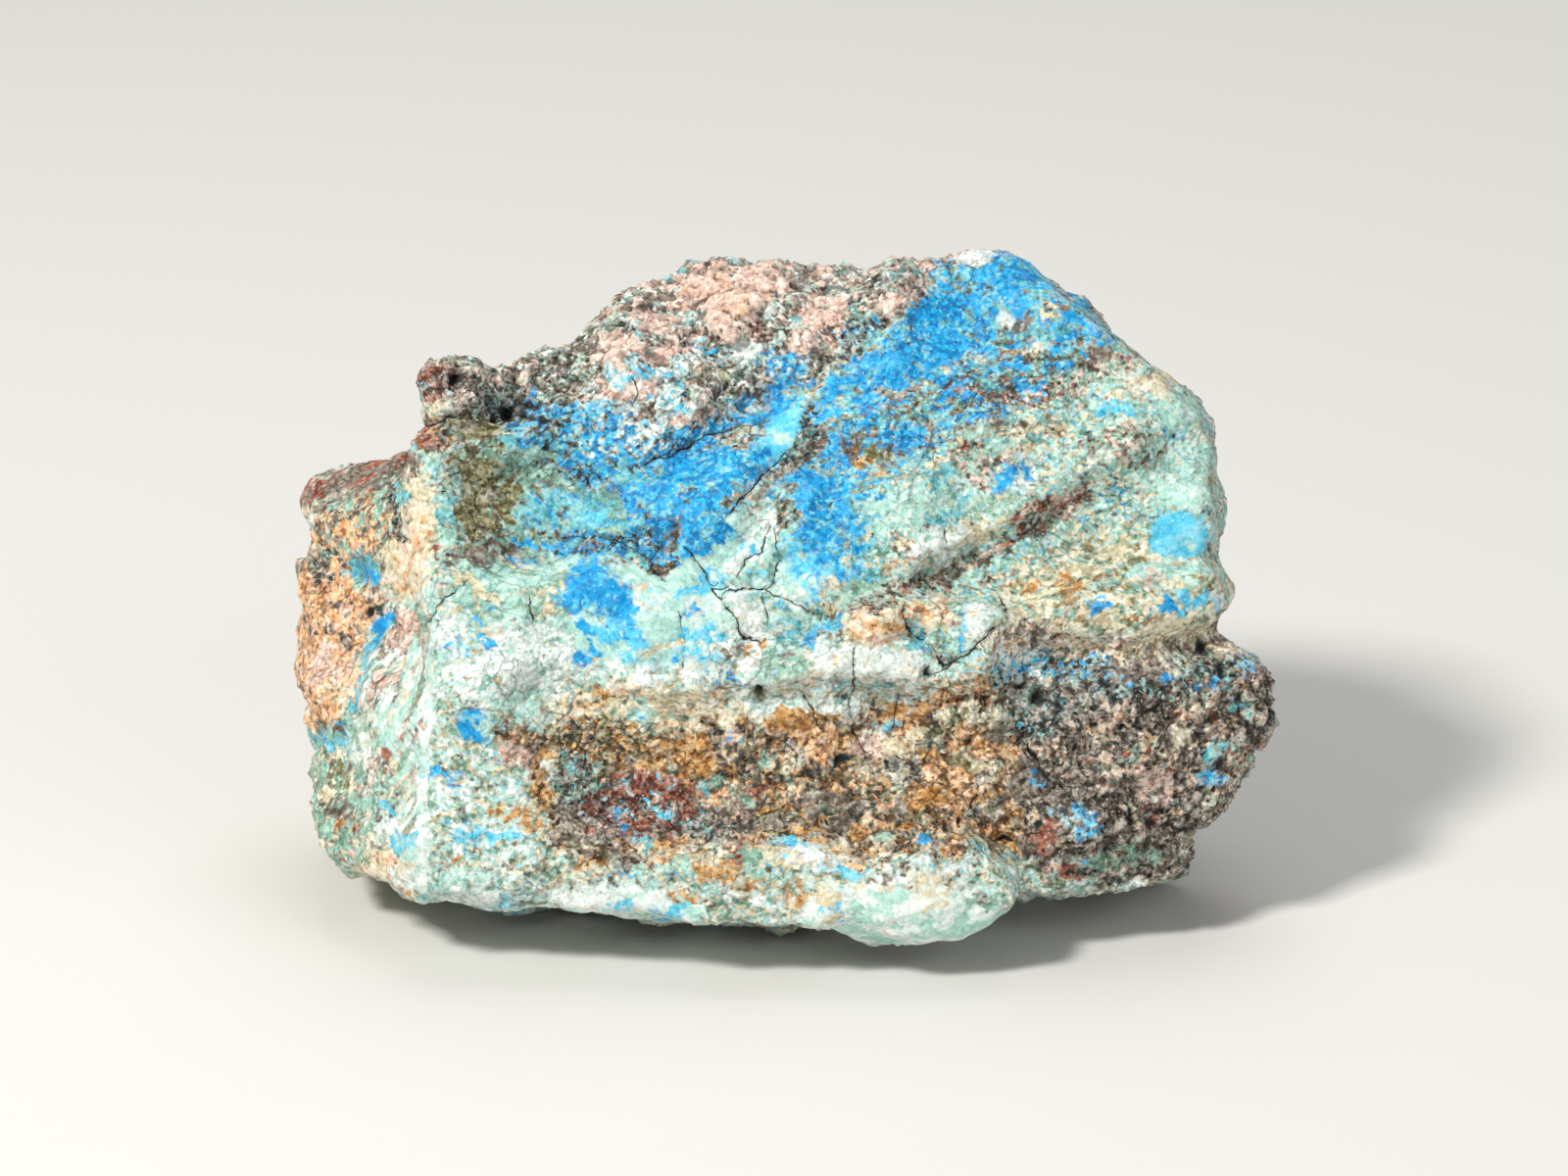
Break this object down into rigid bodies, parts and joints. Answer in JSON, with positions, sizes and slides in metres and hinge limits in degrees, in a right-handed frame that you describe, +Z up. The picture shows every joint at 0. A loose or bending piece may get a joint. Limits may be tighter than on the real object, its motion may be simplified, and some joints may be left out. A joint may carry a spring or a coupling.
{
  "type": "diaboleite mineral specimen",
  "caption": "Broken hand specimen of altered rock with a blue and turquoise crust across its leaning front face and a flat break to rest on.",
  "frame": {"origin": "under the middle of the specimen, on the surface that its flat base rests on", "axes": "+Z up, -Y the way the blue face looks, +X to the right of a person who looks at that face"},
  "size_m": [0.0827, 0.0518, 0.0528],
  "materials": {
    "altered_rock": "dull, granular and chalky, with a vivid blue crust over pale turquoise, brown and pink rock"
  },
  "bodies": {
    "root": {"specimen": "altered_rock"}
  },
  "joints": []
}
